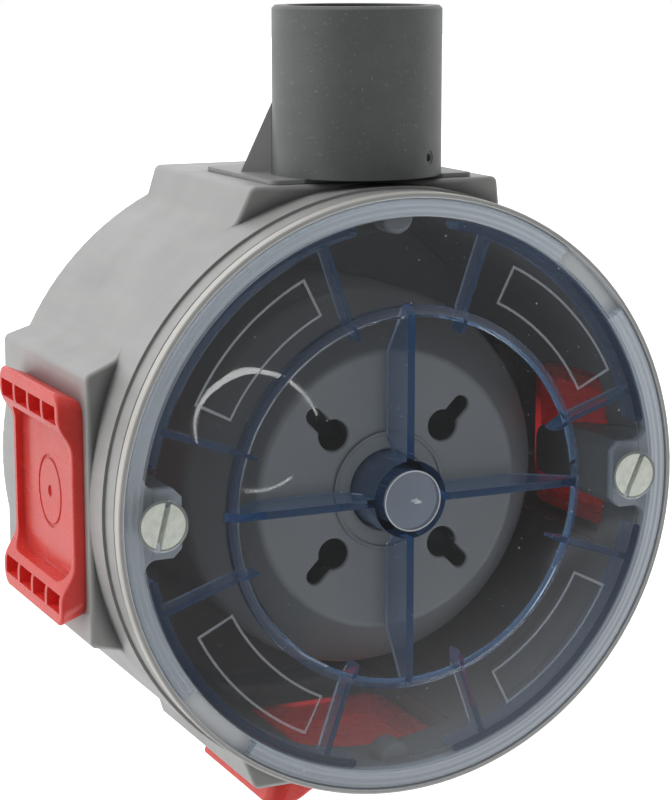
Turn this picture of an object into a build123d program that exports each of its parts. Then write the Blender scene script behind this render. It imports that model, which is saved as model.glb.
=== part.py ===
from build123d import *

import os
from math import pi

# Round surface-mounting conduit box with a clear screwed lid.
#
# Frame: the origin is the centre of the face that lies on the wall. +Y points into the
# wall, the lid faces -Y, and +Z points up along the conduit socket. Depths are counted
# from the plane of the lid's flat outer band towards the wall; the lid's window stands
# a little in front of that plane.

os.makedirs("parts", exist_ok=True)

# Room left beyond a cut so that it passes clean through a face
THROUGH = 1.0

# Places closer together than this are taken as the same
TOUCH = 0.01

# Box body
BOX_DEPTH = 50.0
BODY_R = 41.3
COLLAR_R = 40.9
COLLAR_DEPTH = 5.6
RIM_R = 41.0
RIM_DEPTH = 1.7
SHADOW_GROOVE_R = 40.4
SHADOW_GROOVE_WIDTH = 0.5
CAVITY_R = 37.8
FLOOR_T = 2.4
BACK_EDGE_FILLET = 0.6
RIM_FILLET = 0.35

# Central pedestal, hollow and open towards the wall
DISC_R = 19.1
DISC_DEPTH = 7.0
DISC_T = 2.0
SHOULDER_R = 26.75
SHOULDER_DEPTH = 15.5
PEDESTAL_WALL = 2.0
DISC_EDGE_FILLET = 1.2
SHOULDER_FILLET = 3.0
HUB_HOLE_R = 5.65
HUB_RING_R = 8.2
HUB_RING_W = 0.35
HUB_RING_H = 0.2
HUB_RING_ROOT = 0.5
DISC_HOLE_FILLET = 0.3

# Keyholes in the pedestal disc
KEYHOLE_PCD = 23.2
KEYHOLE_R = 2.15
KEYHOLE_SLOT_R = 1.15
KEYHOLE_TRAVEL = 3.9
KEYHOLE_COUNT = 4
KEYHOLE_ANGLE = 45.0

# Conduit ports, one on each side of the body
PORT_COUNT = 4
PORT_FACE = 41.5
PORT_FACE_HALF = 18.2
PORT_FOOT_HALF = 19.8
PORT_FOOT = 36.4
PORT_SKIRT_HALF = 24.0
PORT_SKIRT = 33.6
PORT_FRONT_DEPTH = 10.1
PORT_BACK_DEPTH = 46.2
PORT_FRONT_LEAN = 2.0
PORT_EDGE_FILLET = 1.0
PORT_FOOT_FILLET = 2.5
PORT_FRONT_FILLET = 0.5
PORT_ROOT = 28.0
RECESS_HALF = 12.2
RECESS_FRONT_DEPTH = 12.0
RECESS_BACK_DEPTH = 43.0
RECESS_CEILING = 40.1

# Opening in each port
OPENING_FRONT_DEPTH = 12.4
OPENING_BACK_DEPTH = 33.6
OPENING_HALF = 10.8
OPENING_CORNER = 3.0
OPENING_CLEARANCE = 0.15

# Collar under each port closer, which fits the opening
COLLAR_WALL = 1.4
COLLAR_END = 37.9
COLLAR_NOTCH_HALF = 5.3
COLLAR_NOTCH_TOP = 38.5
COLLAR_NOTCH_DEPTH = 23.6

# Lid
LID_T = 1.6
LID_R = 40.1
LEDGE_R = 40.3
LEDGE_GAP = 0.06
LID_EDGE_BEVEL = 0.3
WINDOW_R = 26.1
WINDOW_RISE = 0.9
WINDOW_SLOPE = 1.05
WINDOW_T = 1.2
RIB_ROOT_DEPTH = 0.15
STEP_LINE_R = 36.2
STEP_LINE_W = 0.2
STEP_LINE_DEPTH = 0.12
LID_SKIRT_R = 37.55
LID_SKIRT_T = 1.2
LID_SKIRT_DEPTH = 5.0
LID_SKIRT_SPAN = 67.0
LID_SKIRT_END_FILLET = 0.5
HUB_R = 5.3
HUB_BORE_R = 4.0
HUB_DEPTH = 12.5
HUB_FACE_T = 1.4
CROSS_RIB_T = 1.1
CROSS_RIB_DEPTH = 6.7
CROSS_RIB_INNER_R = 7.5
CROSS_RIB_ROOT_DEPTH = 3.2
CROSS_RIB_OUTER_R = 26.35
HUB_OVERLAP = 0.6
RIB_COUNT = 4
FIN_ANGLE = 19.0
FIN_T = 0.9
FIN_TIP_T = 0.3
FIN_DEPTH = 4.0
FIN_TIP_DEPTH = 3.2
FIN_TIP_BEVEL = 0.5
FIN_INNER_R = 23.2
FIN_FULL_R = 26.6
FIN_OUTER_R = 37.2
NOTCH_R = 37.9
NOTCH_SPAN = 18.0
PANEL_INNER_R = 28.6
PANEL_OUTER_R = 34.2
PANEL_SPAN = 37.0
PANEL_LINE = 0.35
PANEL_LINE_DEPTH = 0.2

# Lid screws
SCREW_SPACING = 70.0
SCREW_HEAD_R = 3.4
SCREW_SHANK_R = 1.75
SCREW_LENGTH = 15.0
SCREW_SLOT_W = 0.8
SCREW_SLOT_DEPTH = 0.9
SCREW_HOLE_R = 1.85
SCREW_HEAD_CLEARANCE = 0.08
SCREW_TIP_BEVEL = 0.5
SCREW_MOUTH_DEPTH = 0.4
LEFT_SLOT_ANGLE = 76.0
RIGHT_SLOT_ANGLE = 66.0

# Screw lugs inside the rim
LUG_INNER_X = 32.1
LUG_OUTER_X = 37.95
LUG_ROOT_X = 39.2
LUG_HALF = 4.6
LUG_CHAMFER = 1.2
LUG_COVE = 1.5
LUG_COVE_R = 1.65
LUG_FRONT_HALF = 6.3
LUG_NOSE_HALF = 3.3
LUG_NOSE_FILLET = 2.4
LUG_DEPTH = 23.0
LUG_ROOT_DEPTH = 12.2
LUG_BORE_DEPTH = 19.0

# Half-round locating posts inside the rim, above and below
POST_R = 2.3
POST_FRONT_DEPTH = 4.3
POST_BACK_DEPTH = 9.4
POST_CENTRE = 37.4
POST_FRONT_FILLET = 0.8
POST_BACK_FILLET = 1.9

# Blanking plug
PLUG_FRONT_DEPTH = 11.9
PLUG_BACK_DEPTH = 38.0
PLUG_TOP_HALF = 15.8
PLUG_BASE_HALF = 14.4
PLUG_MID_H = 1.55
PLUG_END_H = 3.4
PLUG_FLAT_HALF = 7.2
PLUG_RAISED_HALF = 12.6
PLUG_EDGE_FILLET = 0.35
PLUG_CORNER = 2.2
TRAY_HALF = 10.3
TRAY_FLOOR_H = 0.5
TRAY_RIM = 1.2
TRAY_CORNER = 3.6
PLUG_PANEL_T = 1.3
POCKET_COUNT = 4
POCKET_INNER = 11.4
POCKET_OUTER = 13.9
POCKET_RIB = 0.9
POCKET_FLOOR_H = 0.6
DRILL_RING_R = 5.0
DRILL_RING_W = 0.5
DRILL_RING_DEPTH = 0.25
DRILL_DOT_R = 0.8

# Conduit socket insert
SPOUT_DEPTH = 16.8
SPOUT_R = 11.5
SPOUT_BORE_R = 9.55
SPOUT_TOP = 64.7
SPOUT_FLOOR_T = 1.6
SPOUT_LIP_BEVEL = 0.4
PLATE_T = 0.6
PLATE_HALF = 14.9
PLATE_FRONT_DEPTH = 11.2
PLATE_BACK_DEPTH = 35.0
PLATE_CORNER = 1.0
CABLE_HOLE_R = 5.9
CABLE_HOLE_DEPTH = 20.2
GUSSET_T = 1.5
GUSSET_REACH = 16.0
GUSSET_H = 9.8
GUSSET_ANGLES = (35.0, 145.0)
GUSSET_LIP = 0.2
GUSSET_CREST = 1.2
GUSSET_INNER = 0.8
GATE_MARK_R = 0.55
GATE_MARK_DEPTH = 0.5
GATE_MARK_DISH_R = 0.95
GATE_MARK_DISH_DEPTH = 0.12
GATE_MARK_H = 2.6
GATE_MARK_ANGLE = -58.0


def at_depth(depth):
    """The Y coordinate at a depth behind the plane of the lid's outer band."""
    return depth - BOX_DEPTH


def turned(points):
    """A solid of revolution about Y from (radius, depth) points."""
    outline = [(radius, at_depth(depth)) for radius, depth in points]
    return revolve(make_face(Polyline(*outline, close=True)), axis=Axis.Y)


def disc(radius, front, back):
    """A cylinder about Y between two depths."""
    return turned([(0, front), (radius, front), (radius, back), (0, back)])


def ring(inner, outer, front, back):
    """A round tube about Y between two depths."""
    return turned([(inner, front), (outer, front), (outer, back), (inner, back)])


def prism_y(face, front, back):
    """A face drawn in X and Z, extruded between two depths."""
    return extrude(Plane.XZ.offset(-at_depth(back)) * face, amount=back - front)


def block(x_low, x_high, front, back, z_low, z_high):
    """A rectangular block between two depths."""
    size = (x_high - x_low, back - front, z_high - z_low)
    centre = ((x_low + x_high) / 2, at_depth((front + back) / 2), (z_low + z_high) / 2)
    return Pos(*centre) * Box(*size)


def arc_band(inner, outer, span):
    """A flat piece of a ring, centred on +X, between two radii."""
    half = span / 2
    return make_face(
        Curve()
        + [
            CenterArc((0, 0), inner, -half, span),
            CenterArc((0, 0), outer, -half, span),
            Line(at_polar(inner, half), at_polar(outer, half)),
            Line(at_polar(inner, -half), at_polar(outer, -half)),
        ]
    )


def at_polar(radius, angle):
    """A point at a radius and an angle from +X."""
    return Vector(radius, 0).rotate(Axis.Z, angle)


def around_y(angle):
    """A turn about Y that carries +X towards +Z."""
    return Rot(0, -angle, 0)


def port_at(angle):
    """A turn about Y that carries the top port to another side, +X at 90 degrees."""
    return Rot(0, angle, 0)


def corners_near(face, half, height):
    """The two mirrored corners of an outline at a half width and a height."""
    return face.vertices().filter_by(
        lambda v: abs(abs(v.X) - half) < TOUCH and abs(v.Y - height) < TOUCH
    )


def port_platform():
    """The raised flat pad on top of the body that carries a port closer."""
    half = [
        (PORT_FACE_HALF, PORT_FACE),
        (PORT_FOOT_HALF, PORT_FOOT),
        (PORT_SKIRT_HALF, PORT_SKIRT),
        (PORT_SKIRT_HALF, PORT_ROOT),
    ]
    mirrored = [(-x, z) for x, z in reversed(half)]
    outline = make_face(Polyline(*half, *mirrored, close=True))
    outline = fillet(corners_near(outline, PORT_FACE_HALF, PORT_FACE), PORT_EDGE_FILLET)
    outline = fillet(corners_near(outline, PORT_FOOT_HALF, PORT_FOOT), PORT_FOOT_FILLET)
    pad = prism_y(outline, PORT_FRONT_DEPTH, PORT_BACK_DEPTH)
    lean = PORT_FRONT_LEAN / (PORT_FACE - PORT_FOOT)
    low_front = PORT_FRONT_DEPTH + lean * (PORT_FACE - PORT_ROOT)
    wedge = make_face(
        Polyline(
            (at_depth(PORT_FRONT_DEPTH), PORT_FACE),
            (at_depth(low_front), PORT_ROOT),
            (at_depth(PORT_FRONT_DEPTH), PORT_ROOT),
            close=True,
        )
    )
    pad -= extrude(Plane.YZ * wedge, amount=PORT_SKIRT_HALF, both=True)
    front_face = pad.faces().sort_by(Axis.Y)[0]
    front_edges = front_face.edges().filter_by(
        lambda e: e.center().Z > PORT_SKIRT and e.geom_type == GeomType.LINE
    )
    return fillet(front_edges, PORT_FRONT_FILLET)


def port_recess():
    """The pocket behind a port, where the closer's collar has room."""
    return block(
        -RECESS_HALF,
        RECESS_HALF,
        RECESS_FRONT_DEPTH,
        RECESS_BACK_DEPTH,
        PORT_ROOT,
        RECESS_CEILING,
    )


def port_opening(clearance, z_low, z_high):
    """The rounded rectangular way through a port, less a clearance."""
    front = OPENING_FRONT_DEPTH + clearance
    back = OPENING_BACK_DEPTH - clearance
    width = 2 * (OPENING_HALF - clearance)
    window = RectangleRounded(width, back - front, OPENING_CORNER - clearance)
    centre = Pos(0, at_depth((front + back) / 2), z_low)
    return extrude(centre * window, amount=z_high - z_low)


def keyhole():
    """A screw keyhole on +X whose narrow end points outwards."""
    head = Pos(KEYHOLE_PCD / 2, 0) * Circle(KEYHOLE_R)
    slot_start = Pos(KEYHOLE_PCD / 2 + KEYHOLE_TRAVEL / 2, 0)
    slot = slot_start * Rectangle(KEYHOLE_TRAVEL, 2 * KEYHOLE_SLOT_R)
    seat = Pos(KEYHOLE_PCD / 2 + KEYHOLE_TRAVEL, 0) * Circle(KEYHOLE_SLOT_R)
    return prism_y(head + slot + seat, DISC_DEPTH - THROUGH, DISC_DEPTH + DISC_T + THROUGH)


def pedestal_outside():
    """The outer shape of the island that stands on the floor and nearly reaches the lid."""
    outside = turned(
        [
            (0, DISC_DEPTH),
            (DISC_R, DISC_DEPTH),
            (SHOULDER_R, SHOULDER_DEPTH),
            (SHOULDER_R, BOX_DEPTH),
            (0, BOX_DEPTH),
        ]
    )
    circles = outside.edges().filter_by(GeomType.CIRCLE).sort_by(Axis.Y)
    outside = fillet(circles[0], DISC_EDGE_FILLET)
    shoulder_edge = outside.edges().filter_by(
        lambda e: e.geom_type == GeomType.CIRCLE
        and abs(e.radius - SHOULDER_R) < TOUCH
        and abs(e.center().Y - at_depth(SHOULDER_DEPTH)) < TOUCH
    )
    return fillet(shoulder_edge, SHOULDER_FILLET)


def pedestal_hollow():
    """The space behind the pedestal's disc, open towards the wall."""
    return turned(
        [
            (0, DISC_DEPTH + DISC_T),
            (DISC_R - PEDESTAL_WALL / 2, DISC_DEPTH + DISC_T),
            (SHOULDER_R - PEDESTAL_WALL, SHOULDER_DEPTH + PEDESTAL_WALL),
            (SHOULDER_R - PEDESTAL_WALL, BOX_DEPTH + THROUGH),
            (0, BOX_DEPTH + THROUGH),
        ]
    )


def pedestal():
    """The hollow island with its hub hole and its keyholes, their rims rounded."""
    island = pedestal_outside() - pedestal_hollow()
    island -= disc(HUB_HOLE_R, DISC_DEPTH - THROUGH, DISC_DEPTH + DISC_T + THROUGH)
    for hole in range(KEYHOLE_COUNT):
        island -= around_y(KEYHOLE_ANGLE + hole * 360 / KEYHOLE_COUNT) * keyhole()
    rims = island.edges().filter_by(
        lambda e: abs(e.center().Y - at_depth(DISC_DEPTH)) < TOUCH
        and e.bounding_box().size.Y < TOUCH
        and e.length < 2 * pi * HUB_RING_R
    )
    return fillet(rims, DISC_HOLE_FILLET) + hub_ring()


def lug_section():
    """The lug's outline on +X, with coves where it meets the rim."""
    cove_end = (LUG_OUTER_X - LUG_COVE / 2, LUG_HALF + LUG_COVE)
    cove_start = (LUG_OUTER_X - 3 * LUG_COVE / 2, LUG_HALF)
    cove = RadiusArc(cove_start, cove_end, -LUG_COVE_R)
    half = Polyline(
        cove_start,
        (LUG_INNER_X + LUG_CHAMFER, LUG_HALF),
        (LUG_INNER_X, LUG_HALF - LUG_CHAMFER),
        (LUG_INNER_X, 0),
    )
    root = Polyline(cove_end, (LUG_ROOT_X, cove_end[1]), (LUG_ROOT_X, 0))
    upper = [half, cove, root]
    lower = [mirror(curve, about=Plane.XZ) for curve in upper]
    return make_face(Curve() + [*upper, *lower])


def lug_profile():
    """The lug seen from the side: it narrows towards a rounded nose."""
    front = at_depth(LID_T + LEDGE_GAP)
    back = at_depth(LUG_DEPTH)
    outline = make_face(
        Polyline(
            (front, -LUG_FRONT_HALF),
            (front, LUG_FRONT_HALF),
            (back, LUG_NOSE_HALF),
            (back, -LUG_NOSE_HALF),
            close=True,
        )
    )
    outline = fillet(outline.vertices().sort_by(Axis.X)[-2:], LUG_NOSE_FILLET)
    return extrude(Plane.YZ * outline, amount=LUG_ROOT_X)


def screw_lug():
    """The bored lug on +X that takes one lid screw."""
    lug = prism_y(lug_section(), LID_T, LUG_DEPTH) & lug_profile()
    half = LUG_FRONT_HALF + THROUGH
    lug -= block(LUG_OUTER_X, LUG_ROOT_X + THROUGH, LUG_ROOT_DEPTH, LUG_DEPTH, -half, half)
    lug -= Pos(SCREW_SPACING / 2, 0, 0) * disc(SCREW_HOLE_R, LID_T, LUG_BORE_DEPTH)
    mouth_r = SCREW_HOLE_R + SCREW_HEAD_CLEARANCE
    mouth = disc(mouth_r, LID_T, LID_T + LEDGE_GAP + SCREW_MOUTH_DEPTH)
    return lug - Pos(SCREW_SPACING / 2, 0, 0) * mouth


def locating_post():
    """The short half-round post on +Z that centres the lid's skirt."""
    post = Pos(0, 0, POST_CENTRE) * disc(POST_R, POST_FRONT_DEPTH, POST_BACK_DEPTH)
    circles = post.edges().filter_by(GeomType.CIRCLE).sort_by(Axis.Y)
    post = fillet(circles[0], POST_FRONT_FILLET)
    circles = post.edges().filter_by(GeomType.CIRCLE).sort_by(Axis.Y)
    return fillet(circles[-1], POST_BACK_FILLET)


def hub_ring():
    """The faint raised ring around the hole in the pedestal's disc."""
    inner = HUB_RING_R - HUB_RING_W
    return ring(inner, HUB_RING_R, DISC_DEPTH - HUB_RING_H, DISC_DEPTH + HUB_RING_ROOT)


def outer_shell():
    """The body's outside as one closed solid, before it is hollowed."""
    groove_back = RIM_DEPTH + SHADOW_GROOVE_WIDTH
    shell = turned(
        [
            (0, 0),
            (RIM_R, 0),
            (RIM_R, RIM_DEPTH),
            (SHADOW_GROOVE_R, RIM_DEPTH),
            (SHADOW_GROOVE_R, groove_back),
            (COLLAR_R, groove_back),
            (COLLAR_R, COLLAR_DEPTH),
            (BODY_R, COLLAR_DEPTH),
            (BODY_R, BOX_DEPTH),
            (0, BOX_DEPTH),
        ]
    )
    circles = shell.edges().filter_by(GeomType.CIRCLE).sort_by(Axis.Y)
    shell = fillet(circles[-1], BACK_EDGE_FILLET)
    circles = shell.edges().filter_by(GeomType.CIRCLE).sort_by(Axis.Y)
    return fillet(circles[0], RIM_FILLET)


def box_body():
    """The grey box: shell, four ports, pedestal, screw lugs and posts."""
    body = outer_shell()
    for port in range(PORT_COUNT):
        body += port_at(port * 360 / PORT_COUNT) * port_platform()
    body -= disc(CAVITY_R, -THROUGH, BOX_DEPTH - FLOOR_T)
    body -= disc(LEDGE_R, -THROUGH, LID_T + LEDGE_GAP)
    for port in range(PORT_COUNT):
        turn = port_at(port * 360 / PORT_COUNT)
        body -= turn * port_recess()
        body -= turn * port_opening(0, PORT_ROOT, PORT_FACE + THROUGH)
    body -= disc(SHOULDER_R - PEDESTAL_WALL / 2, BOX_DEPTH - FLOOR_T, BOX_DEPTH + THROUGH)
    body += pedestal()
    for side in (0, 180):
        body += around_y(side) * screw_lug()
        body += around_y(side) * locating_post()
    return body


def lid_cross_rib():
    """The deep rib on +X between the hub and the window's edge."""
    root = RIB_ROOT_DEPTH
    outline = [
        (HUB_BORE_R + HUB_OVERLAP, root),
        (HUB_BORE_R + HUB_OVERLAP, CROSS_RIB_ROOT_DEPTH),
        (CROSS_RIB_INNER_R, CROSS_RIB_DEPTH),
        (DISC_R, CROSS_RIB_DEPTH),
        (CROSS_RIB_OUTER_R, LID_T),
        (CROSS_RIB_OUTER_R, root),
    ]
    face = make_face(Polyline(*[(x, at_depth(d)) for x, d in outline], close=True))
    return extrude(face, amount=CROSS_RIB_T / 2, both=True)


def lid_fin():
    """A short fin on +X under the lid, whose inner end thins to a blade."""
    root = RIB_ROOT_DEPTH
    side = [
        (FIN_INNER_R, root),
        (FIN_INNER_R, FIN_TIP_DEPTH - FIN_TIP_BEVEL),
        (FIN_INNER_R + FIN_TIP_BEVEL, FIN_TIP_DEPTH),
        (FIN_FULL_R, FIN_DEPTH),
        (FIN_OUTER_R, FIN_DEPTH),
        (FIN_OUTER_R, root),
    ]
    face = make_face(Polyline(*[(x, at_depth(d)) for x, d in side], close=True))
    plan = make_face(
        Polyline(
            (FIN_INNER_R, -FIN_TIP_T / 2),
            (FIN_FULL_R, -FIN_T / 2),
            (FIN_OUTER_R, -FIN_T / 2),
            (FIN_OUTER_R, FIN_T / 2),
            (FIN_FULL_R, FIN_T / 2),
            (FIN_INNER_R, FIN_TIP_T / 2),
            close=True,
        )
    )
    return extrude(face, amount=FIN_T / 2, both=True) & prism_y(plan, 0, FIN_DEPTH)


def lid_skirt():
    """One quarter of the skirt that centres the lid, on +X, with rounded ends."""
    outer = arc_band(LID_SKIRT_R - LID_SKIRT_T, LID_SKIRT_R, LID_SKIRT_SPAN)
    outer = fillet(outer.vertices(), LID_SKIRT_END_FILLET)
    return prism_y(outer, LID_T / 2, LID_SKIRT_DEPTH)


def lid_panel_frame():
    """The engraved outline of a plain curved panel, on +X."""
    line_span = 2 * PANEL_LINE * 180 / (PANEL_INNER_R * pi)
    outline = arc_band(PANEL_INNER_R, PANEL_OUTER_R, PANEL_SPAN)
    inside = arc_band(
        PANEL_INNER_R + PANEL_LINE, PANEL_OUTER_R - PANEL_LINE, PANEL_SPAN - line_span
    )
    return prism_y(outline - inside, -THROUGH, PANEL_LINE_DEPTH)


def screw_seat():
    """The countersunk screw hole in the lid, on +X."""
    head = SCREW_HEAD_R + SCREW_HEAD_CLEARANCE
    neck = SCREW_SHANK_R + SCREW_HEAD_CLEARANCE
    back = LID_T + THROUGH
    seat = turned(
        [(0, -THROUGH), (head, -THROUGH), (head, 0), (neck, head - neck), (neck, back), (0, back)]
    )
    return Pos(SCREW_SPACING / 2, 0, 0) * seat


def pry_notch():
    """The gap in the lid's edge on +X where a blade lifts it."""
    notch = arc_band(NOTCH_R, LID_R + THROUGH, NOTCH_SPAN)
    return prism_y(notch, -THROUGH, LID_T + THROUGH)


def lid_plate():
    """The lid's disc: a flat outer band, and a window raised on a sloped edge."""
    plate = disc(LID_R, 0, LID_T)
    front_edge = plate.edges().filter_by(GeomType.CIRCLE).sort_by(Axis.Y)[0]
    plate = chamfer(front_edge, LID_EDGE_BEVEL)
    top_r = WINDOW_R - WINDOW_SLOPE
    plate += turned([(0, -WINDOW_RISE), (top_r, -WINDOW_RISE), (WINDOW_R, 0), (0, 0)])
    window_back = WINDOW_T - WINDOW_RISE
    slope_r = WINDOW_R - WINDOW_SLOPE * (LID_T - window_back) / WINDOW_RISE
    behind = LID_T + THROUGH
    plate -= turned(
        [(0, window_back), (slope_r, window_back), (WINDOW_R, LID_T), (WINDOW_R, behind), (0, behind)]
    )
    line = LID_T - STEP_LINE_DEPTH
    return plate - ring(STEP_LINE_R, STEP_LINE_R + STEP_LINE_W, line, LID_T + THROUGH)


def lid():
    """The clear lid: plate, window, hub, ribs, fins and skirt in one piece."""
    plate = lid_plate()
    quarter = 360 / RIB_COUNT
    for rib in range(RIB_COUNT):
        plate += around_y(quarter * rib) * lid_cross_rib()
        plate += around_y(quarter * (rib + 1 / 2)) * lid_skirt()
        plate -= around_y(quarter * (rib + 1 / 2)) * lid_panel_frame()
        for side in (-FIN_ANGLE, FIN_ANGLE):
            plate += around_y(quarter * rib + side) * lid_fin()
    plate += disc(HUB_R, RIB_ROOT_DEPTH, HUB_DEPTH)
    plate -= disc(HUB_BORE_R, HUB_FACE_T - WINDOW_RISE, HUB_DEPTH + THROUGH)
    for side in (0, 180):
        plate -= around_y(side) * screw_seat()
        plate -= around_y(side + quarter / 2) * pry_notch()
    return plate


def lid_screw(slot_angle):
    """A countersunk slotted lid screw on the Y axis."""
    cone = SCREW_HEAD_R - SCREW_SHANK_R
    screw = turned(
        [
            (0, 0),
            (SCREW_HEAD_R, 0),
            (SCREW_SHANK_R, cone),
            (SCREW_SHANK_R, SCREW_LENGTH - SCREW_TIP_BEVEL),
            (SCREW_SHANK_R - SCREW_TIP_BEVEL, SCREW_LENGTH),
            (0, SCREW_LENGTH),
        ]
    )
    half = SCREW_SLOT_W / 2
    slot = block(-SCREW_HEAD_R, SCREW_HEAD_R, -THROUGH, SCREW_SLOT_DEPTH, -half, half)
    return screw - around_y(slot_angle) * slot


def port_collar():
    """The hollow collar of a closer, notched so that it clears a screw lug."""
    outer = port_opening(OPENING_CLEARANCE, COLLAR_END, PORT_FACE)
    inner = port_opening(OPENING_CLEARANCE + COLLAR_WALL, COLLAR_END, PORT_FACE)
    half = COLLAR_NOTCH_HALF
    notch = block(-half, half, 0, COLLAR_NOTCH_DEPTH, COLLAR_END - THROUGH, COLLAR_NOTCH_TOP)
    return outer - inner - notch


def plug_section():
    """The plug's outline across its width: a saddle between two raised ends."""
    crest = Spline(
        (PLUG_FLAT_HALF, PORT_FACE + PLUG_MID_H),
        (PLUG_RAISED_HALF, PORT_FACE + PLUG_END_H),
        tangents=((1, 0), (1, 0)),
    )
    mirrored_crest = mirror(crest, about=Plane.YZ)
    middle = Line((-PLUG_FLAT_HALF, PORT_FACE + PLUG_MID_H), crest @ 0)
    half = Polyline(
        crest @ 1,
        (PLUG_TOP_HALF, PORT_FACE + PLUG_END_H),
        (PLUG_BASE_HALF, PORT_FACE),
        (-PLUG_BASE_HALF, PORT_FACE),
        (-PLUG_TOP_HALF, PORT_FACE + PLUG_END_H),
        (-PLUG_RAISED_HALF, PORT_FACE + PLUG_END_H),
    )
    return make_face(Curve() + [mirrored_crest, middle, crest, half])


def plug_tray():
    """The shallow recess in the middle of the plug's outer face."""
    front = PLUG_FRONT_DEPTH + TRAY_RIM
    back = PLUG_BACK_DEPTH - TRAY_RIM
    floor = RectangleRounded(2 * TRAY_HALF, back - front, TRAY_CORNER)
    centre = Pos(0, at_depth((front + back) / 2), PORT_FACE + TRAY_FLOOR_H)
    return extrude(centre * floor, amount=2 * PLUG_END_H)


def plug_pockets():
    """The row of blind pockets at both raised ends of the plug."""
    front = PLUG_FRONT_DEPTH + TRAY_RIM
    back = PLUG_BACK_DEPTH - TRAY_RIM
    pitch = (back - front + POCKET_RIB) / POCKET_COUNT
    length = pitch - POCKET_RIB
    z_low = PORT_FACE + POCKET_FLOOR_H
    z_high = PORT_FACE + 2 * PLUG_END_H
    pockets = []
    for index in range(POCKET_COUNT):
        start = front + index * pitch
        for side in (-1, 1):
            near, far = sorted((side * POCKET_INNER, side * POCKET_OUTER))
            pockets.append(block(near, far, start, start + length, z_low, z_high))
    return pockets


def drill_guide():
    """The shallow ring and centre dot that mark where to drill the plug."""
    centre = Pos(0, at_depth((PLUG_FRONT_DEPTH + PLUG_BACK_DEPTH) / 2), 0)
    floor = PORT_FACE + TRAY_FLOOR_H - DRILL_RING_DEPTH
    circle = Circle(DRILL_RING_R) - Circle(DRILL_RING_R - DRILL_RING_W) + Circle(DRILL_DOT_R)
    return extrude(Pos(0, 0, floor) * centre * circle, amount=THROUGH)


def blanking_plug():
    """A red plug that closes the top port."""
    plug = prism_y(plug_section(), PLUG_FRONT_DEPTH, PLUG_BACK_DEPTH)
    corners = plug.edges().filter_by(
        lambda e: abs(e.center().X) > PLUG_RAISED_HALF and e.bounding_box().size.Z > PLUG_MID_H
    )
    plug = fillet(corners, PLUG_CORNER)
    plug = fillet(plug.edges().group_by(Axis.Z)[-1], PLUG_EDGE_FILLET)
    plug -= plug_tray()
    for pocket in plug_pockets():
        plug -= pocket
    panel_low = PORT_FACE + TRAY_FLOOR_H - PLUG_PANEL_T
    plug += port_opening(OPENING_CLEARANCE, panel_low, PORT_FACE)
    plug += port_collar()
    plug -= drill_guide()
    return plug


def gusset(angle):
    """A triangular rib that stiffens the socket, at an angle from +X in plan."""
    foot = PORT_FACE + PLATE_T
    outline = [
        (SPOUT_BORE_R + GUSSET_INNER, foot - GUSSET_LIP),
        (SPOUT_BORE_R + GUSSET_INNER, foot + GUSSET_H + GUSSET_CREST),
        (SPOUT_R, foot + GUSSET_H),
        (GUSSET_REACH, foot),
        (GUSSET_REACH, foot - GUSSET_LIP),
    ]
    rib = extrude(Plane.XZ * make_face(Polyline(*outline, close=True)), amount=GUSSET_T / 2, both=True)
    return Pos(0, at_depth(SPOUT_DEPTH), 0) * Rot(0, 0, angle) * rib


def spout_insert():
    """The conduit socket with its plate and collar, for the top port."""
    foot = PORT_FACE + PLATE_T
    width = PLATE_BACK_DEPTH - PLATE_FRONT_DEPTH
    plate_centre = Pos(0, at_depth((PLATE_FRONT_DEPTH + PLATE_BACK_DEPTH) / 2), PORT_FACE)
    insert = extrude(plate_centre * RectangleRounded(2 * PLATE_HALF, width, PLATE_CORNER), amount=PLATE_T)
    axis = Pos(0, at_depth(SPOUT_DEPTH), 0)
    tube = Pos(0, 0, foot) * axis * Circle(SPOUT_R)
    tube = extrude(tube, amount=SPOUT_TOP - foot)
    tube = chamfer(tube.edges().sort_by(Axis.Z)[-1], SPOUT_LIP_BEVEL)
    insert += tube
    for angle in GUSSET_ANGLES:
        insert += gusset(angle)
    insert += port_collar()
    bore = Pos(0, 0, foot + SPOUT_FLOOR_T) * axis * Circle(SPOUT_BORE_R)
    insert -= extrude(bore, amount=SPOUT_TOP)
    cable_hole = Pos(0, at_depth(CABLE_HOLE_DEPTH), COLLAR_END) * Circle(CABLE_HOLE_R)
    insert -= extrude(cable_hole, amount=SPOUT_TOP - COLLAR_END)
    mark_axis = axis * Rot(0, 0, GATE_MARK_ANGLE) * Pos(0, 0, foot + GATE_MARK_H) * Rot(0, 90, 0)
    for radius, depth in (
        (GATE_MARK_R, GATE_MARK_DEPTH),
        (GATE_MARK_DISH_R, GATE_MARK_DISH_DEPTH),
    ):
        mark = mark_axis * Pos(0, 0, SPOUT_R - depth) * Circle(radius)
        insert -= extrude(mark, amount=THROUGH)
    return insert


def export_node(shape, node):
    """Writes one sub-part."""
    export_step(shape, f"parts/{node}.step")


export_node(box_body(), "box_body")
export_node(lid(), "clear_lid")
export_node(Pos(-SCREW_SPACING / 2, 0, 0) * lid_screw(LEFT_SLOT_ANGLE), "left_lid_screw")
export_node(Pos(SCREW_SPACING / 2, 0, 0) * lid_screw(RIGHT_SLOT_ANGLE), "right_lid_screw")
export_node(spout_insert(), "conduit_socket")
for plug_name, plug_angle in (("right_plug", 90), ("bottom_plug", 180), ("left_plug", 270)):
    export_node(port_at(plug_angle) * blanking_plug(), plug_name)
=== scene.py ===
import math

import bmesh
import bpy
from mathutils import Euler, Matrix, Vector

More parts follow.
